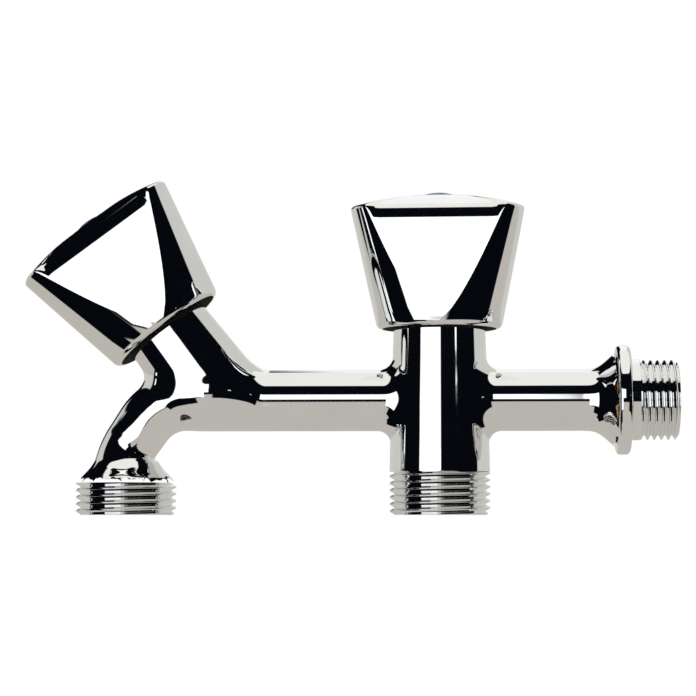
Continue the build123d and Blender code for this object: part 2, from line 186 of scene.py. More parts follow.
def paint_studio(tree):
    """The colour of the studio in every direction."""
    place = add_node(tree, "ShaderNodeTexCoord").outputs["Generated"]
    parts = add_node(tree, "ShaderNodeSeparateXYZ", i0=place).outputs
    ahead = calculate(tree, "MULTIPLY", parts[1], -1.0)
    azimuth = calculate(tree, "DEGREES", calculate(tree, "ARCTAN2", parts[0], ahead))
    height = calculate(tree, "DEGREES", calculate(tree, "ARCSINE", parts[2]))
    aside = calculate(tree, "ABSOLUTE", azimuth)

    dark = (0.0016, 0.0024, 0.0042, 1.0)
    table = (0.54, 0.51, 0.46, 1.0)
    ceiling = (0.94, 0.92, 0.86, 1.0)
    wall_low = (0.64, 0.63, 0.59, 1.0)
    wall_high = (1.0, 1.0, 0.99, 1.0)
    lamp = (1.35, 1.35, 1.35, 1.0)

    behind = ramp_between(tree, aside, 166.0, 172.0)
    wall_top = calculate(tree, "MULTIPLY", behind, ramp_between(tree, height, 8.0, 26.0))
    wall = blend_colour(tree, wall_top, wall_low, wall_high)
    around = ramp_between(tree, aside, 95.5, 98.5)
    colour = blend_colour(tree, around, dark, wall)
    front_table = ramp_between(tree, height, -6.0, -8.5)
    side_table = ramp_between(tree, height, -24.5, -27.0)
    beside = ramp_between(tree, aside, 9.0, 14.0)
    table_in_front = blend_value(tree, beside, front_table, side_table)
    behind_table = ramp_between(tree, height, -4.0, -8.0)
    on_table = blend_value(tree, around, table_in_front, behind_table)
    colour = blend_colour(tree, on_table, colour, table)
    colour = blend_colour(tree, ramp_between(tree, height, 53.0, 55.0), colour, ceiling)
    # left, right, low and high edge, softness of the edges, colour
    patches = [
        # dark cards low on the left
        (-96.0, -24.0, -48.0, -20.0, 1.5, dark),
        (-96.0, -56.0, -58.0, -20.0, 1.5, dark),
        # dark cards high on the left, behind the tap
        (-175.0, -138.0, 9.0, 50.0, 1.5, dark),
        (-140.0, -92.0, 27.0, 58.0, 1.5, dark),
        # the bright panel, and its upper part that reaches past the camera
        (-47.0, -5.5, -22.0, 20.0, 1.0, lamp),
        (-12.0, 3.0, 1.8, 20.0, 1.0, lamp),
        # two slim lamps far left
        (-90.5, -88.0, 3.2, 16.0, 0.6, lamp),
        (-91.0, -87.5, -16.0, -6.0, 0.6, lamp),
        # two small lamps on the right
        (39.5, 43.5, 7.3, 8.2, 0.25, lamp),
        (39.5, 43.5, 6.45, 6.75, 0.15, lamp),
    ]
    for left, right, low, high, soft, shade in patches:
        share = studio_patch(tree, azimuth, height, left, right, low, high, soft)
        colour = blend_colour(tree, share, colour, shade)
    return colour


world = bpy.data.worlds.new("studio")
bpy.context.scene.world = world
world.use_nodes = True
studio = world.node_tree
studio.nodes.clear()
rays = add_node(studio, "ShaderNodeLightPath").outputs
mirrored = calculate(studio, "MAXIMUM", rays["Is Glossy Ray"], rays["Is Transmission Ray"])
even = (0.62, 0.62, 0.62, 1.0)
seen = blend_colour(studio, mirrored, even, paint_studio(studio))
seen = blend_colour(studio, rays["Is Camera Ray"], seen, white)
background = add_node(studio, "ShaderNodeBackground", Color=seen, Strength=1.0)
add_node(studio, "ShaderNodeOutputWorld", Surface=background.outputs[0])
print("studio nodes", len(studio.nodes))

# %% [markdown]
# ## Lamps and floor
#
# A large soft lamp above the left shoulder and a weaker one on the right light the
# rubber, the plastic and the floor. They aren't mirrored, because the studio already
# is. The floor is white to the eye and only shows the tap's soft shadow.


# %% Add the lamps
tap_middle = Vector((-0.074, 0.0, 0.01))


def add_lamp(name, place, size, power):
    """A soft square lamp that points at the tap's middle."""
    data = bpy.data.lights.new(name, "AREA")
    data.shape = "SQUARE"
    data.size = size
    data.energy = power
    lamp = bpy.data.objects.new(name, data)
    bpy.context.scene.collection.objects.link(lamp)
    lamp.location = place
    aim = tap_middle - Vector(place)
    lamp.rotation_euler = aim.to_track_quat("-Z", "Y").to_euler()
    lamp.visible_glossy = False
    return lamp


lamps = [
    add_lamp("key_lamp", (-0.75, -0.85, 1.15), 0.9, 17.0),
    add_lamp("fill_lamp", (0.75, -0.65, 0.7), 0.9, 7.0),
]
print("lamps", [(lamp.name, lamp.data.energy) for lamp in lamps])

# %% Lay the floor
floor_size = 6.0
floor_mesh = bpy.data.meshes.new("floor")
shape = bmesh.new()
bmesh.ops.create_grid(shape, x_segments=1, y_segments=1, size=floor_size)
bmesh.ops.translate(shape, verts=shape.verts, vec=(0.0, 0.0, cad_box[0][2]))
shape.to_mesh(floor_mesh)
shape.free()
floor = bpy.data.objects.new("floor", floor_mesh)
bpy.context.scene.collection.objects.link(floor)
floor.visible_glossy = False
floor.visible_diffuse = False

floor_paint = bpy.data.materials.new("white_floor")
floor_paint.use_nodes = True
paint = floor_paint.node_tree
paint.nodes.clear()
rays = add_node(paint, "ShaderNodeLightPath").outputs
matt = add_node(paint, "ShaderNodeBsdfDiffuse", Color=(0.82, 0.82, 0.82, 1.0))
glow = add_node(paint, "ShaderNodeEmission", Color=white, Strength=0.45)
both = add_node(paint, "ShaderNodeAddShader", i0=matt.outputs[0], i1=glow.outputs[0])
sight = calculate(paint, "MAXIMUM", rays["Is Camera Ray"], rays["Is Glossy Ray"])
chosen = add_node(paint, "ShaderNodeMixShader", i0=sight, i1=matt.outputs[0], i2=both.outputs[0])
add_node(paint, "ShaderNodeOutputMaterial", Surface=chosen.outputs[0])
floor_mesh.materials.append(floor_paint)
bpy.context.scene.view_settings.view_transform = "Standard"
print("floor at", round(cad_box[0][2] / mm, 2), "mm")

# %% [markdown]
# ## Finishes
#
# Chrome plating is a thin, bluish white metal with a very low roughness. Real plating
# is never perfectly even: polishing leaves faint, wide waves under it, and handling
# leaves a slightly duller film in places. Both are made with noise on the object's own
# coordinates, so that they stay on the metal.


# %% Make the finishes
def new_finish(name):
    """An empty material with a Principled shader and the object's coordinates."""
    finish = bpy.data.materials.new(name)
    finish.use_nodes = True
    tree = finish.node_tree
    tree.nodes.clear()
    shader = add_node(tree, "ShaderNodeBsdfPrincipled")
    add_node(tree, "ShaderNodeOutputMaterial", Surface=shader.outputs[0])
    place = add_node(tree, "ShaderNodeTexCoord").outputs["Object"]
    return finish, tree, shader, place


noise_low, noise_high = 0.3, 0.7
film_size, metal_gloss_size = 9.0, 4.0
tint_size, grain_gloss_size = 3.0, 1.5
grain_depth, grain_strength = 0.02, 0.4


def noise(tree, place, size, detail):
    """Noise whose blobs are about one size across, in millimetres."""
    scale = 1000.0 / size
    node = add_node(tree, "ShaderNodeTexNoise", Vector=place, Scale=scale, Detail=detail)
    return node.outputs["Fac"]


def spread(tree, value, low, high):
    """Maps noise, which stays near its middle, onto a range."""
    ends = {"i1": noise_low, "i2": noise_high, "i3": low, "i4": high}
    return add_node(tree, "ShaderNodeMapRange", i0=value, **ends).outputs[0]


def colour_and_gloss(tree, shader, tint, pale, deep, gloss, smooth, dull):
    """Lets the colour follow one noise and the roughness another."""
    colour = blend_colour(tree, spread(tree, tint, 0.0, 1.0), pale, deep)
    tree.links.new(colour, shader.inputs["Base Color"])
    tree.links.new(spread(tree, gloss, smooth, dull), shader.inputs["Roughness"])


def relief(tree, shader, height, strength, depth):
    """Raises and sinks the surface by a noise, with the depth in millimetres."""
    bump = add_node(tree, "ShaderNodeBump", Height=height, Strength=strength, Distance=depth * mm)
    tree.links.new(bump.outputs[0], shader.inputs["Normal"])


def metal_finish(name, pale, deep, smooth, dull, wave_size, wave_depth):
    """A metal whose colour, gloss and surface vary a little from place to place."""
    finish, tree, shader, place = new_finish(name)
    shader.inputs["Metallic"].default_value = 1.0
    film = noise(tree, place, film_size, 3.0)
    gloss = noise(tree, place, metal_gloss_size, 3.0)
    colour_and_gloss(tree, shader, film, pale, deep, gloss, smooth, dull)
    relief(tree, shader, noise(tree, place, wave_size, 1.0), 1.0, wave_depth)
    return finish


def matt_finish(name, pale, deep, smooth, dull, grain_size):
    """Rubber or plastic: a dielectric with a fine grain."""
    finish, tree, shader, place = new_finish(name)
    tint = noise(tree, place, tint_size, 4.0)
    gloss = noise(tree, place, grain_gloss_size, 3.0)
    colour_and_gloss(tree, shader, tint, pale, deep, gloss, smooth, dull)
    relief(tree, shader, noise(tree, place, grain_size, 2.0), grain_strength, grain_depth)
    return finish


# pale and deep colour, roughness of the smooth and the dull places, size and depth of waves
chrome = metal_finish(
    "chrome", (0.90, 0.91, 0.92, 1), (0.86, 0.875, 0.89, 1), 0.018, 0.045, 14.0, 0.02
)
raw_brass = metal_finish(
    "raw_brass", (0.83, 0.63, 0.33, 1), (0.72, 0.52, 0.25, 1), 0.22, 0.36, 1.2, 0.01
)
steel = metal_finish(
    "steel", (0.62, 0.62, 0.61, 1), (0.52, 0.52, 0.52, 1), 0.25, 0.38, 0.8, 0.008
)
# the same, with the size of the grain at the end
rubber = matt_finish(
    "rubber", (0.030, 0.030, 0.031, 1), (0.020, 0.020, 0.021, 1), 0.55, 0.75, 0.35
)
slip_plastic = matt_finish(
    "slip_plastic", (0.80, 0.79, 0.75, 1), (0.74, 0.73, 0.69, 1), 0.35, 0.5, 0.6
)
# painted shade: the handles' hollow is coloured near black to stand in for the dark under the
# skirt, not a finish of the zinc's own
painted_shade_inside = matt_finish(
    "painted_shade_inside", (0.012, 0.012, 0.013, 1), (0.008, 0.008, 0.009, 1), 0.5, 0.7, 0.9
)
index_plastic = matt_finish(
    "index_plastic", (0.030, 0.075, 0.125, 1), (0.022, 0.060, 0.105, 1), 0.05, 0.12, 0.8
)
finishes = {
    "chrome": chrome,
    "raw_brass": raw_brass,
    "steel": steel,
    "rubber": rubber,
    "slip_plastic": slip_plastic,
    "index_plastic": index_plastic,
}
print("finishes", sorted(finishes), "and", painted_shade_inside.name)

# %% Give every CAD node its finish
slots = {part["node"]: part["material_slot"] for part in frame["record"]["subparts"]}
for name, node in frame["nodes"].items():
    node.data.materials.clear()
    node.data.materials.append(finishes[slots[name]])
print("nodes with a finish", len(slots))

# %% [markdown]
# ## Helpers for turned shapes
#
# Most of a tap is turned on a lathe, so its pieces are outlines that are spun round an
# axis. An outline is a list of (radius, height) points in millimetres. The helper
# spins it about Z, merges the seam and the poles, and turns the faces outwards.


# %% Turned shapes and booleans
def lathe(outline, steps=96):
    """A closed solid, spun from (radius, height) points about Z, in millimetres."""
    shape = bmesh.new()
    points = [shape.verts.new((radius, 0.0, height)) for radius, height in outline]
    for first, second in zip(points, points[1:] + points[:1]):
        shape.edges.new((first, second))
    everything = shape.verts[:] + shape.edges[:]
    full_turn = {"cent": (0, 0, 0), "axis": (0, 0, 1), "angle": 2 * pi, "steps": steps}
    bmesh.ops.spin(shape, geom=everything, use_merge=True, **full_turn)
    bmesh.ops.remove_doubles(shape, verts=shape.verts, dist=1e-5)
    bmesh.ops.dissolve_degenerate(shape, edges=shape.edges, dist=1e-6)
    loose = [edge for edge in shape.edges if not edge.link_faces]
    bmesh.ops.delete(shape, geom=loose, context="EDGES")
    bmesh.ops.recalc_face_normals(shape, faces=shape.faces)
    return shape


def moved(shape, place):
    """The same shape, moved by a matrix."""
    bmesh.ops.transform(shape, matrix=place, verts=shape.verts)
    return shape


def as_object(name, shape, finish):
    """Turns a bmesh into an object with one finish."""
    mesh = bpy.data.meshes.new(name)
    shape.to_mesh(mesh)
    shape.free()
    mesh.materials.append(finish)
    piece = bpy.data.objects.new(name, mesh)
    bpy.context.scene.collection.objects.link(piece)
    return piece


def apply_all(piece):
    """Applies an object's modifiers and keeps the result as its mesh."""
    result = piece.evaluated_get(bpy.context.evaluated_depsgraph_get())
    mesh = bpy.data.meshes.new_from_object(result)
    piece.modifiers.clear()
    old = piece.data
    piece.data = mesh
    bpy.data.meshes.remove(old)
    mesh.name = piece.name
    return piece


def combine(piece, tool, operation):
    """Joins a tool to a piece, or cuts it away, and removes the tool."""
    change = piece.modifiers.new("change", "BOOLEAN")
    change.operation = operation
    change.solver = "MANIFOLD"
    change.material_mode = "TRANSFER"
    change.object = tool
    apply_all(piece)
    bpy.data.meshes.remove(tool.data)
    return piece


def cut(piece, name, shape, finish):
    """Cuts a shape away from a piece; the cut faces get the finish."""
    return combine(piece, as_object(name, shape, finish), "DIFFERENCE")


def join(piece, name, shape, finish):
    """Joins a shape to a piece."""
    return combine(piece, as_object(name, shape, finish), "UNION")


def rod(radius, low, high):
    """The outline of a plain rod."""
    return [(0, low), (radius, low), (radius, high), (0, high)]


# %% The axes that everything is turned about
along_x = Matrix.Rotation(pi / 2, 4, "Y")
centre_x, side_x, side_outlet_x = -49.7, -107.4, -132.3
centre_rise, side_rise, side_lean = 20.3, 24.95, 37.0
centre_axis = Matrix.Translation((centre_x, 0, 0))
side_axis = Matrix.Translation((side_x, 0, 0)) @ Matrix.Rotation(radians(-side_lean), 4, "Y")
outlet_axis = Matrix.Translation((side_outlet_x, 0, 0))
print("barrels at", centre_x, "and", side_x, "mm, the second leaning", side_lean, "degrees")

# %% [markdown]
# ## The casting's outside
#
# The real body is one brass casting: a tube, two barrels and a bent arm that opens
# into a bell, all flowing into each other. Boolean unions would leave hard creases
# where they meet, and a bevel can't follow such curves. A casting's blend keeps its
# small radius all along a corner, which is easy to say with distances: every form
# tells how far a point is from its skin, and two forms are joined so that a fillet
# fills the corner. A rough union of rods and balls is remeshed into even faces, and
# then each vertex is drawn onto that skin.

# %% The tube's line and its radius
arm_corner_x, arm_knee_z = -123.4, -13.2
arm_bend_r, arm_knee_r = 14.0, 9.0
tube_r, neck_r = 8.05, 7.25
leg = Vector((side_outlet_x - arm_corner_x, arm_knee_z)).normalized()
bend_angle = atan(-leg.y / -leg.x)
knee_angle = pi / 2 - bend_angle
bend_start_x = arm_corner_x + arm_bend_r * tan(bend_angle / 2)
leg_start = Vector((arm_corner_x, 0)) + leg * arm_bend_r * tan(bend_angle / 2)
leg_end = Vector((side_outlet_x, arm_knee_z)) - leg * arm_knee_r * tan(knee_angle / 2)
knee_low_z = arm_knee_z - arm_knee_r * tan(knee_angle / 2)
bend_length = arm_bend_r * bend_angle
leg_length = (leg_end - leg_start).length
knee_length = arm_knee_r * knee_angle
run_to_bend = -bend_start_x
run_to_leg = run_to_bend + bend_length
run_to_knee = run_to_leg + leg_length
run_to_drop = run_to_knee + knee_length
print("arm turns", round(degrees(bend_angle), 1), "and", round(degrees(knee_angle), 1), "degrees")

# (run along the line, radius) behind the flange; (depth below the tube's line, radius) in the bell
flare = [
    (-4, 16.6), (0, 14.6), (3.4, 12.65), (4.0, 12.2), (5.0, 11.35), (6.0, 10.42),
    (7.0, 9.55), (8.0, 8.85), (9.0, 8.4), (10.2, 8.13), (11.5, tube_r),
]
bell = [
    (12.3, neck_r), (14.0, 7.6), (15.3, 8.0), (16.1, 8.45), (16.9, 9.0), (17.9, 9.7),
    (18.7, 10.4), (19.5, 11.3), (20.6, 12.2), (21.6, 12.95), (24.0, 14.2), (28.0, 15.5),
]
bell = [(run_to_drop + drop + knee_low_z, radius) for drop, radius in bell]
middle = [(run_to_bend - 4.0, tube_r), (run_to_knee - 1.0, neck_r)]
known_runs, known_radii = np.array(flare + middle + bell).T
run_step, soften_steps = 0.05, 20
runs = np.arange(flare[0][0], bell[-1][0], run_step)
radii = np.interp(runs, known_runs, known_radii)
kernel = np.hanning(2 * soften_steps + 1)
kernel /= kernel.sum()
for again in range(2):
    radii = np.convolve(np.pad(radii, soften_steps, mode="edge"), kernel, mode="valid")
slopes = np.gradient(radii, runs)
print("neck radius", round(float(radii[runs > 100].min()), 2))


# %% Distances to the forms
# the pipe is deeper near this place, by this share, and that fades between two distances
deep_x, deep_z, deep_share = -115.0, -1.5, 0.3
deep_core, deep_reach = 3.0, 19.0
# the barrels' radii, the heights that they belong to, and the leaning one's foot
centre_top_r, centre_low_r, centre_low_z, centre_low_taper = 12.0, 13.05, -14.0, 0.02
side_top_r, side_low_r, side_low_height = 11.4, 12.3, 4.75
foot_height, foot_r = 4.2, 12.31
underside_z, underside_round = -4.6, 6.0
centre_fillet, side_fillet = 3.4, 4.0


def length(*parts):
    """Length of a vector given by its parts."""
    return np.sqrt(sum(part * part for part in parts))


def smooth_step(value, low, high):
    """Goes smoothly from 0 to 1 while the value goes from low to high."""
    share = np.clip((value - low) / (high - low), 0, 1)
    return share * share * (3 - 2 * share)


def pipe_distance(x, y, z):
    """Distance to the tube, arm and bell: nearest place on their line, less the radius there.

    Where the arm leaves the leaning barrel, the pipe is deeper from front to back.
    """
    beyond = smooth_step(length(x - deep_x, z - deep_z), deep_core, deep_reach)
    y = y / (1 + deep_share * (1 - beyond))
    along = []
    straight = np.minimum(-x, run_to_bend)
    along.append((length(x + straight, y, z), straight))
    centre = Vector((bend_start_x, -arm_bend_r))
    turn = np.clip(np.arctan2(centre.x - x, z - centre.y), 0, bend_angle)
    ring_x, ring_z = centre.x - arm_bend_r * np.sin(turn), centre.y + arm_bend_r * np.cos(turn)
    along.append((length(x - ring_x, y, z - ring_z), run_to_bend + arm_bend_r * turn))
    run = np.clip((x - leg_start.x) * leg.x + (z - leg_start.y) * leg.y, 0, leg_length)
    off_leg = length(x - leg_start.x - run * leg.x, y, z - leg_start.y - run * leg.y)
    along.append((off_leg, run_to_leg + run))
    centre = Vector((side_outlet_x + arm_knee_r, knee_low_z))
    turn = np.clip(np.arctan2(z - centre.y, centre.x - x), 0, knee_angle)
    ring_x, ring_z = centre.x - arm_knee_r * np.cos(turn), centre.y + arm_knee_r * np.sin(turn)
    along.append((length(x - ring_x, y, z - ring_z), run_to_drop - arm_knee_r * turn))
    drop = np.maximum(knee_low_z - z, 0)
    along.append((length(x - side_outlet_x, y, z - knee_low_z + drop), run_to_drop + drop))
    gap, run = along[0]
    for other_gap, other_run in along[1:]:
        nearer = other_gap < gap
        gap, run = np.where(nearer, other_gap, gap), np.where(nearer, other_run, run)
    slope = np.interp(run, runs, slopes)
    return (gap - np.interp(run, runs, radii)) / np.sqrt(1 + slope * slope)


def centre_barrel_distance(x, y, z):
    """Distance to the upright barrel, a slight cone."""
    taper = (centre_low_r - centre_top_r) / (centre_rise - centre_low_z)
    upper = centre_top_r + (centre_rise - z) * taper
    lower = centre_low_r + centre_low_taper * (centre_low_z - z)
    return (length(x - centre_x, y) - np.minimum(upper, lower)) / sqrt(1 + taper * taper)


def side_barrel_distance(x, y, z):
    """Distance to the leaning barrel, a slight cone with a ball for a foot, cut level below."""
    lean = radians(side_lean)
    across = (x - side_x) * cos(lean) + z * sin(lean)
    height = -(x - side_x) * sin(lean) + z * cos(lean)
    around = length(across, y)
    taper = (side_low_r - side_top_r) / (side_rise - side_low_height)
    cone = (around - side_top_r - (side_rise - height) * taper) / sqrt(1 + taper * taper)
    ball = length(around, height - foot_height) - foot_r
    barrel = np.where(height - foot_height > around * taper, cone, ball)
    return -filleted(-barrel, z - underside_z, underside_round)


def filleted(first, second, radius):
    """Joins two distances with a fillet of that radius."""
    corner = length(np.maximum(radius - first, 0), np.maximum(radius - second, 0))
    return np.maximum(radius, np.minimum(first, second)) - corner


def casting_distance(points):
    """Distance to the whole casting."""
    x, y, z = points.T
    body = filleted(pipe_distance(x, y, z), centre_barrel_distance(x, y, z), centre_fillet)
    return filleted(body, side_barrel_distance(x, y, z), side_fillet)


def drawn_onto(points, distance, rounds):
    """Moves points onto a skin along its slope, a few careful steps at a time."""
    nudge, least_steep, longest_move = 0.01, 0.2, 1.5
    for step in range(rounds):
        gap = distance(points)
        slope = np.empty_like(points)
        for axis in range(3):
            ahead = points.copy()
            ahead[:, axis] += nudge
            slope[:, axis] = (distance(ahead) - gap) / nudge
        steep = np.maximum((slope * slope).sum(1), least_steep)
        move = slope * (gap / steep)[:, None]
        far = np.sqrt((move * move).sum(1))
        points = points - move * np.minimum(1, longest_move / np.maximum(far, 1e-9))[:, None]
    return points


# %% The rough casting
def add_rod(shape, radius, place, low, high, segments=48):
    """Adds a closed rod between two heights on an axis."""
    middle = place @ Matrix.Translation((0, 0, (low + high) / 2))
    sizes = {"radius1": radius, "radius2": radius, "depth": high - low, "matrix": middle}
    bmesh.ops.create_cone(shape, cap_ends=True, cap_tris=False, segments=segments, **sizes)


def add_ball(shape, radius, place):
    """Adds a ball."""
    bmesh.ops.create_uvsphere(shape, u_segments=32, v_segments=16, radius=radius, matrix=place)


# these forms only have to lie near the skin and join up
rough = bmesh.new()
add_rod(rough, tube_r, along_x, side_x - 12, 2)
add_rod(rough, 12.6, centre_axis, -24, 25)
add_rod(rough, 12.0, side_axis, 3, 30)
add_ball(rough, 12.3, side_axis @ Matrix.Translation((0, 0, foot_height)))
add_ball(rough, 10.5, Matrix.Translation((-114.0, 0, 1.5)))
for run in np.arange(run_to_bend - 4, run_to_drop, 1.0):
    if run < run_to_bend:
        spot = Vector((-run, 0))
    elif run < run_to_leg:
        turn = (run - run_to_bend) / arm_bend_r
        spot = Vector((bend_start_x - arm_bend_r * sin(turn), arm_bend_r * (cos(turn) - 1)))
    elif run < run_to_knee:
        spot = leg_start + leg * (run - run_to_leg)
    else:
        turn = (run_to_drop - run) / arm_knee_r
        ring_x, ring_z = arm_knee_r * (1 - cos(turn)), arm_knee_r * sin(turn)
        spot = Vector((side_outlet_x + ring_x, knee_low_z + ring_z))
    add_ball(rough, float(np.interp(run, runs, radii)), Matrix.Translation((spot.x, 0, spot.y)))
casting = as_object("casting", rough, chrome)
rough_flare = [(0, -12), (8.1, -12), (8.9, -8), (12.2, -4), (14.3, -0.5), (14.3, 2), (0, 2)]
rough_bell = [
    (0, -12), (7.2, -12), (8.9, -16.9), (12.8, -21.6), (14.2, -24), (14.9, -26), (0, -26),
]
forms = [
    casting,
    as_object("flare", moved(lathe(rough_flare), along_x), chrome),
    as_object("bell", moved(lathe(rough_bell), outlet_axis), chrome),
]
with bpy.context.temp_override(active_object=casting, selected_editable_objects=forms):
    bpy.ops.object.join()
print("rough casting", len(casting.data.polygons), "faces")


# %% Remesh it and draw it onto the skin
def remeshed(piece, voxel):
    """Even faces over the joined forms."""
    even = piece.modifiers.new("even", "REMESH")
    even.mode = "VOXEL"
    even.voxel_size = voxel
    return apply_all(piece)


def settle(piece, distance, rounds):
    """Draws the vertices onto the skin, evening them out between the rounds."""
    mesh = piece.data
    first_steps, later_steps = 5, 3
    even_out = {"factor": 0.5, "use_axis_x": True, "use_axis_y": True, "use_axis_z": True}
    for step in range(rounds):
        flat = np.empty(len(mesh.vertices) * 3)
        mesh.vertices.foreach_get("co", flat)
        steps = first_steps if step == 0 else later_steps
        points = drawn_onto(flat.reshape(-1, 3), distance, steps)
        mesh.vertices.foreach_set("co", points.ravel())
        if step < rounds - 1:
            shape = bmesh.new()
            shape.from_mesh(mesh)
            bmesh.ops.smooth_vert(shape, verts=shape.verts, **even_out)
            shape.to_mesh(mesh)
            shape.free()
    return points


remeshed(casting, 1.0)
settle(casting, casting_distance, 2)
remeshed(casting, 0.5)
skin = settle(casting, casting_distance, 4)
off_skin = float(np.abs(casting_distance(skin)).max())
print("casting", len(skin), "vertices, off its skin by", round(off_skin, 4), "mm")

# %% [markdown]
# ## Cut threads
#
# The inlet has a G 1/2 pipe thread and both outlets a G 3/4 thread. Both kinds are
# right-handed, with a pitch of 1.814 mm, flanks at 55 degrees, and rounded crests and
# roots. Rings would look alike from the front but wouldn't climb, so the toothed line
# is spun through one turn while it climbs one pitch. The result is trimmed by a blank
# with a chamfered end, as the lathe's die leaves it.


# %% Thread cutter
pitch = 1.814
thread_depth = 0.640327 * pitch
thread_round = 0.137329 * pitch
thread_chamfer = 1.1
inlet_thread_r, outlet_thread_r = 20.955 / 2, 26.441 / 2
inlet_end, outlet_end = 12.5, -30.0
centre_thread_top, side_thread_top = -18.7, -21.6


def threaded_rod(radius, low, high, steps=96):
    """A rod with a right-hand pipe thread between two heights."""
    line = []
    flank = radians(62.5)
    leans = [flank * part / 2 for part in range(-2, 3)]
    for turn in range(int(low / pitch) - 3, int(high / pitch) + 2):
        for lean in leans:
            root = radius - thread_depth + thread_round - thread_round * cos(lean)
            line.append((root, pitch * turn + thread_round * sin(lean)))
        for lean in leans:
            crest = radius - thread_round + thread_round * cos(lean)
            line.append((crest, pitch * (turn + 0.5) + thread_round * sin(lean)))
    shape = bmesh.new()
    points = [shape.verts.new((r, 0.0, z)) for r, z in line]
    edges = [shape.edges.new(pair) for pair in zip(points, points[1:])]
    full_turn = {"cent": (0, 0, 0), "axis": (0, 0, 1), "angle": 2 * pi, "steps": steps}
    bmesh.ops.spin(shape, geom=points + edges, dvec=(0.0, 0.0, pitch / steps), **full_turn)
    bmesh.ops.remove_doubles(shape, verts=shape.verts, dist=1e-4)
    for height, up in ((low, -1.0), (high, 1.0)):
        everything = shape.verts[:] + shape.edges[:] + shape.faces[:]
        plane = {"plane_co": (0, 0, height), "plane_no": (0, 0, up)}
        bmesh.ops.bisect_plane(shape, geom=everything, clear_outer=True, **plane)
        open_edges = [edge for edge in shape.edges if edge.is_boundary]
        rim = [edge for edge in open_edges if abs(edge.verts[0].co.z - height) < 1e-4]
        bmesh.ops.holes_fill(shape, edges=rim)
    bmesh.ops.recalc_face_normals(shape, faces=shape.faces)
    return shape


def thread_piece(name, radius, low, end, place):
    """A threaded spigot whose free end, above or below, has a chamfer."""
    chamfer = thread_chamfer if end > low else -thread_chamfer
    span = (min(low, end) - 0.01, max(low, end) + 0.01)
    piece = as_object(name, threaded_rod(radius, *span), chrome)
    blank_r = radius + 0.2
    outline = [(0, low), (blank_r, low), (blank_r, end - chamfer), (radius - 1.0, end), (0, end)]
    blank = as_object("blank", lathe(outline), chrome)
    combine(piece, blank, "INTERSECT")
    piece.data.transform(place)
    print(name, len(piece.data.polygons), "faces")
    return piece


# %% [markdown]
# ## Cut, thread and bore the casting
#
# The raw casting is finished on a lathe: barrels faced, the flange's rim and spigot
# turned, threads cut, and the waterways bored. The bores are bare brass inside,
# because plating hardly reaches into them.

# %% Face the ends
# axis, radius, and the two heights between which everything is turned away
faced = [
    (centre_axis, 17.5, centre_rise, 30.0),
    (side_axis, 17.5, side_rise, 36.0),
    (centre_axis, 17.5, -30.0, centre_thread_top),
    (outlet_axis, 17.5, -32.0, side_thread_top),
    (along_x, 24.0, -3.4, 9.0),
]
for place, radius, low, high in faced:
    cut(casting, "face", moved(lathe(rod(radius, low, high)), place), chrome)
print("faced casting", len(casting.data.polygons), "faces")

# %% Turn the flange's rim and add the threads
flange_r, rim_back = 14.3, -3.6
back_round, front_round = 1.0, 1.1
rim = [(0, rim_back - 1.0)]
leans = [radians(15 * turn) for turn in range(7)]
for lean in leans:
    back = rim_back + back_round - back_round * cos(lean)
    rim.append((flange_r - back_round + back_round * sin(lean), back))
for lean in leans:
    front = -front_round + front_round * sin(lean)
    rim.append((flange_r - front_round + front_round * cos(lean), front))
rim += [(10.55, 0), (10.55, 2.3), (10.1, 2.7), (0, 2.7)]
join(casting, "rim", moved(lathe(rim), along_x), chrome)
threads = [
    ("inlet", inlet_thread_r, 1.6, inlet_end, along_x),
    ("centre_outlet", outlet_thread_r, centre_thread_top, outlet_end, centre_axis),
    ("side_outlet", outlet_thread_r, side_thread_top, outlet_end, outlet_axis),
]
for thread in threads:
    combine(casting, thread_piece(*thread), "UNION")
print("threaded casting", len(casting.data.polygons), "faces")


# %% Bore the waterways
seat_depth, centre_seat_height, side_seat_height = 20.0, 6.8, 1.2
seat_bore_r, seat_bore_depth = 4.8, 19.9
chamber_r, chamber_depth, mouth_r, mouth_bevel = 9.0, 9.0, 8.381, 0.5
arm_bore_r, outlet_bore_r, outlet_cone = 4.5, 8.5, 3.2


def outlet_bore(depth, top_radius):
    """An outlet's bore from below, closed by a cone to a smaller bore."""
    roof = depth + outlet_end
    top = roof + outlet_cone
    mouth = [(0, -30.5), (9.5, -30.5), (9.0, -30.0), (outlet_bore_r, -29.5)]
    return mouth + [(outlet_bore_r, roof), (top_radius, top), (0, top)]


def mouth_and_chamber(rise, seat_height):
    """The threaded mouth and the chamber, with the raised seat left standing."""
    seat = rise - seat_depth
    chamber_floor = seat - seat_height
    return [
        (0, seat),
        (5.8, seat),
        (6.6, seat - 0.8),
        (6.6, chamber_floor),
        (chamber_r, chamber_floor),
        (chamber_r, rise - chamber_depth),
        (mouth_r, rise - chamber_depth),
        (mouth_r, rise - mouth_bevel),
        (mouth_r + mouth_bevel, rise),
        (mouth_r + mouth_bevel, rise + 0.5),
        (0, rise + 0.5),
    ]


inlet_bore = [(0, side_x), (5.5, side_x), (5.5, -5.5), (7.0, -4.0), (7.0, 13.0), (0, 13.0)]
# outline, steps round it, axis
bores = [
    (mouth_and_chamber(centre_rise, centre_seat_height), 64, centre_axis),
    (mouth_and_chamber(side_rise, side_seat_height), 64, side_axis),
    (rod(seat_bore_r, -13.6, centre_rise - seat_bore_depth), 48, centre_axis),
    (rod(seat_bore_r, 0, side_rise - seat_bore_depth), 48, side_axis),
    (outlet_bore(16.5, seat_bore_r), 64, centre_axis),
    (outlet_bore(8.5, arm_bore_r), 64, outlet_axis),
    (inlet_bore, 48, along_x),
]
for outline, steps, place in bores:
    cut(casting, "bore", moved(lathe(outline, steps), place), raw_brass)
print("bored casting", len(casting.data.polygons), "faces")

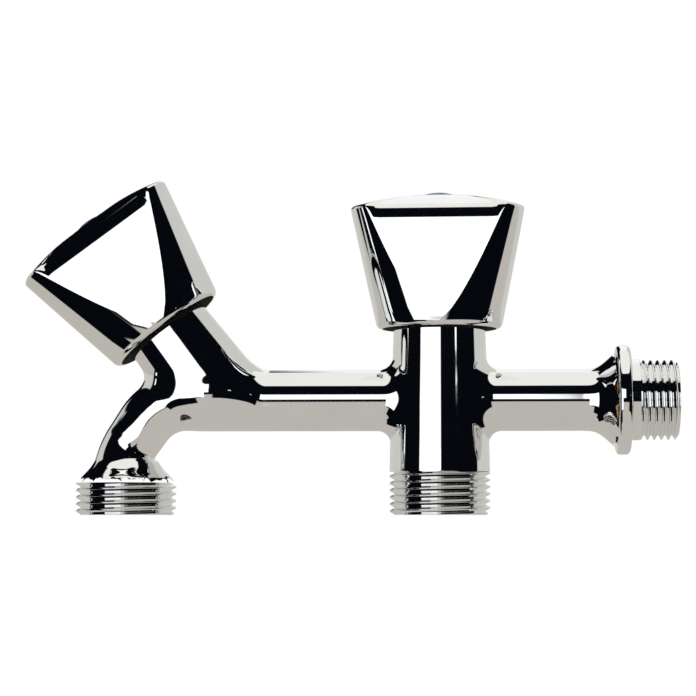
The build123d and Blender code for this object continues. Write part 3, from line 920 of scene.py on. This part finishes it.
# %% Bore the arm
arm_start_height = side_rise - seat_depth - side_seat_height + arm_bore_r
arm_start = side_axis @ Vector((0.6 - chamber_r, 0, arm_start_height))
route = bpy.data.curves.new("route", "CURVE")
route.dimensions = "3D"
route.bevel_depth = arm_bore_r
route.bevel_resolution = 8
route.resolution_u = 16
route.use_fill_caps = True
line = route.splines.new("NURBS")
corners = [
    arm_start,
    Vector((-128.0, 0, -7.0)),
    Vector((side_outlet_x, 0, arm_knee_z)),
    Vector((side_outlet_x, 0, -22.0)),
]
line.points.add(len(corners) - 1)
for point, corner in zip(line.points, corners):
    point.co = (*corner, 1.0)
line.order_u = 3
line.use_endpoint_u = True
drill = bpy.data.objects.new("drill", route)
bpy.context.scene.collection.objects.link(drill)
bpy.context.view_layer.update()
drilled = drill.evaluated_get(bpy.context.evaluated_depsgraph_get())
mesh = bpy.data.meshes.new_from_object(drilled)
bpy.data.objects.remove(drill)
shape = bmesh.new()
shape.from_mesh(mesh)
bmesh.ops.remove_doubles(shape, verts=shape.verts, dist=1e-4)
bmesh.ops.recalc_face_normals(shape, faces=shape.faces)
cut(casting, "drill", shape, raw_brass)
print("the arm's bore starts at", [round(number, 1) for number in arm_start])


# %% Finish the casting
def finished(piece, body, angle=32.0):
    """Sizes a piece in metres, smooths it, and lets it ride on its body."""
    piece.data.transform(Matrix.Scale(mm, 4))
    piece.data.shade_smooth()
    piece.data.set_sharp_from_angle(angle=radians(angle))
    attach(piece, body)
    return piece


finished(casting, "casting")
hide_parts("valve_body")
triangles = sum(len(face.vertices) - 2 for face in casting.data.polygons)
print("casting has", triangles, "triangles")

# %% [markdown]
# ## Handles
#
# Each handle is a zinc casting, chrome plated: it grows from a round skirt into a
# three-cornered head under a low dome. Its flats roll inwards along their top edge,
# while the corners stay crisp. A grid suits that: a straight line is spun into a drum
# with 192 columns, and every vertex then moves to its own place on the handle, which
# is found from its column and its row. A loft through a few outlines would be another
# way, but it gives the same roll everywhere. In use the two heads don't stand quite
# square, so each is turned a little.

# %% The handle's outline at a height
lobe_steps, edge_steps, flat_steps = 28, 6, 24
third_steps = lobe_steps + 2 * edge_steps + flat_steps
skirt_z, rim_z, apex_z = -1.5, 29.95, 33.9
# the outline changes evenly from the skirt to the head over this height
handle_height = 31.4
skirt_r, lobe_r, lobe_reach = 16.35, 10.0, 14.8
flat_low, flat_high = 16.4, 15.75
edge_r = 1.2


def outline_sizes(height):
    """At a height: the lobes' radius and distance from the axis, and the flats' distance."""
    share = max(height - skirt_z, 0.0) / handle_height
    radius = skirt_r + (lobe_r - skirt_r) * share
    return radius, lobe_reach * share, flat_low + (flat_high - flat_low) * share


def column_part(column):
    """Which part of the outline a column is on, how far along it, and that third's corner."""
    third, step = divmod(column, third_steps)
    corner = radians(90 + 120 * third)
    if step <= lobe_steps:
        return "lobe", step / lobe_steps, corner
    step -= lobe_steps
    if step <= edge_steps:
        return "edge out", step / edge_steps, corner
    step -= edge_steps
    if step <= flat_steps:
        return "flat", step / flat_steps, corner
    return "edge in", (step - flat_steps) / edge_steps, corner


def off_centre(reach, corner, radius, facing):
    """A point on a lobe's circle, whose centre lies out towards a corner."""
    across = reach * cos(corner) + radius * cos(facing)
    return Vector((across, reach * sin(corner) + radius * sin(facing)))


def head_place(column, height, inset):
    """Where a column of the grid meets the handle's outline at a height, shrunk by an inset."""
    part, along, corner = column_part(column)
    radius, reach, flat = outline_sizes(height)
    radius -= inset + edge_r
    flat -= inset + edge_r
    bend = acos(min(1.0, (flat - reach / 2) / radius))
    middle = corner + radians(60)
    first, second = middle - bend, middle + bend
    here = off_centre(reach, corner, radius, first)
    there = off_centre(reach, corner + radians(120), radius, second)
    if part == "lobe":
        facing = corner + (2 * along - 1) * (first - corner)
        base = off_centre(reach, corner, radius, facing)
    elif part == "edge out":
        facing, base = first + (middle - first) * along, here
    elif part == "flat":
        facing, base = middle, here.lerp(there, along)
    else:
        facing, base = middle + (second - middle) * along, there
    return base + edge_r * Vector((cos(facing), sin(facing)))


# %% The roll from the sides into the dome
roll_steps = 6
corner_roll_r, soft_growth, tight_growth = 0.9, 8.1, 0.9
turn_over = radians(26)


def roll(column):
    """The steps (inset, height) of a column's roll, from the side to the dome's edge.

    It has two arcs that meet where the surface leans by turn_over. The first is wide on
    the flats, and both are tight on the lobes.
    """
    part, along, corner = column_part(column)
    rim_bend = acos((flat_high - lobe_reach / 2) / lobe_r)
    aside = (pi / 3 - rim_bend) * (abs(2 * along - 1) if part == "lobe" else 1.0)
    lobe_spread = lobe_reach * cos(aside)
    flatness = {"lobe": 0.0, "edge out": along, "flat": 1.0, "edge in": 1 - along}[part]
    flatness = float(smooth_step(flatness, 0, 1))
    lobe_tip = lobe_spread + lobe_r
    growth = (lobe_tip - skirt_r) * (1 - flatness) + (flat_high - flat_low) * flatness
    support = lobe_tip * (1 - flatness) + flat_high * flatness
    lean = -atan(growth / handle_height)
    dome_lean = atan((support - 1.0) / (2 * (apex_z - rim_z)))
    steps = [(0.0, 0.0)]
    arcs = [
        (corner_roll_r + soft_growth * flatness, lean, turn_over),
        (corner_roll_r + tight_growth * flatness, turn_over, dome_lean),
    ]
    for radius, start, end in arcs:
        inset, rise = steps[-1]
        for step in range(1, roll_steps + 1):
            lift = start + (end - start) * step / roll_steps
            inward, upward = cos(start) - cos(lift), sin(lift) - sin(start)
            steps.append((inset + radius * inward, rise + radius * upward))
    return steps


# %% Every vertex of the handle's outside
skirt_edge_r = 1.3
edge_rows, side_rows, roll_rows = 7, 9, 2 * roll_steps
dome_scales = (0.93, 0.84, 0.72, 0.6, 0.48, 0.36, 0.24, 0.12)
dome_round_r = 18.5
outside_rows = edge_rows + side_rows + roll_rows + len(dome_scales)
# (height, thickness of the wall) for the hollow
inside_rings = ((-3.0, 1.35), (-1.45, 1.35), (0.3, 2.4), (25.9, 2.4))


def outside_place(column, row):
    """The place of one vertex, by its column and row; the poles have the first and last row."""
    if row == 0:
        return Vector((0, 0, skirt_z))
    row -= 1
    if row < edge_rows:
        lift = radians(-90 + 90 * row / (edge_rows - 1))
        height = skirt_z + skirt_edge_r * (1 + sin(lift))
        place = head_place(column, height, skirt_edge_r * (1 - cos(lift)))
        return place.to_3d() + Vector((0, 0, height))
    row -= edge_rows
    steps = roll(column)
    side_top = rim_z - steps[-1][1]
    side_low = skirt_z + skirt_edge_r
    if row < side_rows:
        height = side_low + (side_top - side_low) * (row + 1) / side_rows
        return head_place(column, height, 0).to_3d() + Vector((0, 0, height))
    row -= side_rows
    if row < roll_rows:
        inset, rise = steps[row + 1]
        return head_place(column, side_top, inset).to_3d() + Vector((0, 0, side_top + rise))
    row -= roll_rows
    if row == len(dome_scales):
        return Vector((0, 0, apex_z))
    scale = dome_scales[row]
    edge = head_place(column, side_top, steps[-1][0])
    edge = scale * edge.lerp(edge.normalized() * dome_round_r, (1 - scale) ** 2)
    return edge.to_3d() + Vector((0, 0, apex_z - (apex_z - rim_z) * scale * scale))


def inside_place(column, row):
    """The same for the hollow, with a wall of 2.4 mm that thins to an edge below."""
    if row == 0:
        return Vector((0, 0, inside_rings[0][0]))
    if row > len(inside_rings):
        return Vector((0, 0, inside_rings[-1][0]))
    height, inset = inside_rings[row - 1]
    return head_place(column, height, inset).to_3d() + Vector((0, 0, height))


def column_of(vert, columns):
    """Which of a drum's columns a vertex is on; the poles are on the first."""
    if vert.co.xy.length <= 0.5:
        return 0
    turn = vert.co.xy.angle_signed(Vector((1, 0)), 0.0)
    return round(turn * columns / (2 * pi)) % columns


def wrapped_drum(rows, placing):
    """Spins a line of vertices into a drum and moves each to its place."""
    columns = 3 * third_steps
    drum = lathe([(0, 0)] + [(1, row) for row in range(1, rows + 1)] + [(0, rows + 1)], columns)
    for vert in drum.verts:
        vert.co = placing(column_of(vert, columns), round(vert.co.z))
    bmesh.ops.remove_doubles(drum, verts=drum.verts, dist=1e-3)
    bmesh.ops.dissolve_degenerate(drum, edges=drum.edges, dist=1e-4)
    bmesh.ops.recalc_face_normals(drum, faces=drum.faces)
    return drum


# %% Hollow the handle and give it its boss
head_turn = 2.6
socket_low, socket_top = 15.0, 22.8
boss_r, boss_low, boss_top = 7.0, 15.45, 26.5
rib_middle, rib_sizes = (13.5, 0, 25.0), (15.0, 2.0, 3.1)
spline_tip_r, spline_root_r, spline_teeth = 4.05, 3.55, 20
well = [(0, 22.5), (2.2, 22.5), (2.2, 25.6), (4.05, 25.6), (4.05, 36.0), (0, 36.0)]


def toothed_rod(tip_r, root_r, teeth, low, high):
    """A rod with straight-sided teeth, for the spline's socket."""
    shape = bmesh.new()
    add_rod(shape, tip_r, Matrix.Identity(4), low, high, 2 * teeth)
    for vert in shape.verts:
        if column_of(vert, 2 * teeth) % 2:
            vert.co.xy *= root_r / tip_r
    return shape


def make_handle(name, body, place):
    """One handle, from its outside to the well for screw and cap."""
    handle = as_object(name, wrapped_drum(outside_rows, outside_place), chrome)
    # the hollow, boss, ribs, socket and well all get the near-black painted shade
    cut(handle, "hollow", wrapped_drum(len(inside_rings), inside_place), painted_shade_inside)
    join(handle, "boss", lathe(rod(boss_r, boss_low, boss_top), 64), painted_shade_inside)
    for turn in (90, 210, 330):
        rib = bmesh.new()
        block = Matrix.LocRotScale(rib_middle, None, rib_sizes)
        bmesh.ops.create_cube(rib, size=1.0, matrix=block)
        join(handle, "rib", moved(rib, Matrix.Rotation(radians(turn), 4, "Z")), painted_shade_inside)
    socket = toothed_rod(spline_tip_r, spline_root_r, spline_teeth, socket_low, socket_top)
    cut(handle, "socket", socket, painted_shade_inside)
    cut(handle, "well", lathe(well, 64), painted_shade_inside)
    handle.data.transform(place)
    print(name, len(handle.data.polygons), "faces")
    return finished(handle, body, 40.0)


centre_turn = Matrix.Rotation(radians(-head_turn), 4, "Z")
side_turn = Matrix.Rotation(radians(head_turn), 4, "Z")
centre_place = centre_axis @ Matrix.Translation((0, 0, centre_rise)) @ centre_turn
side_place = side_axis @ Matrix.Translation((0, 0, side_rise)) @ side_turn
centre_knob = make_handle("centre_knob", "centre_turning_set", centre_place)
side_knob = make_handle("side_knob", "side_turning_set", side_place)
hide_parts("centre_handle")
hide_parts("side_handle")
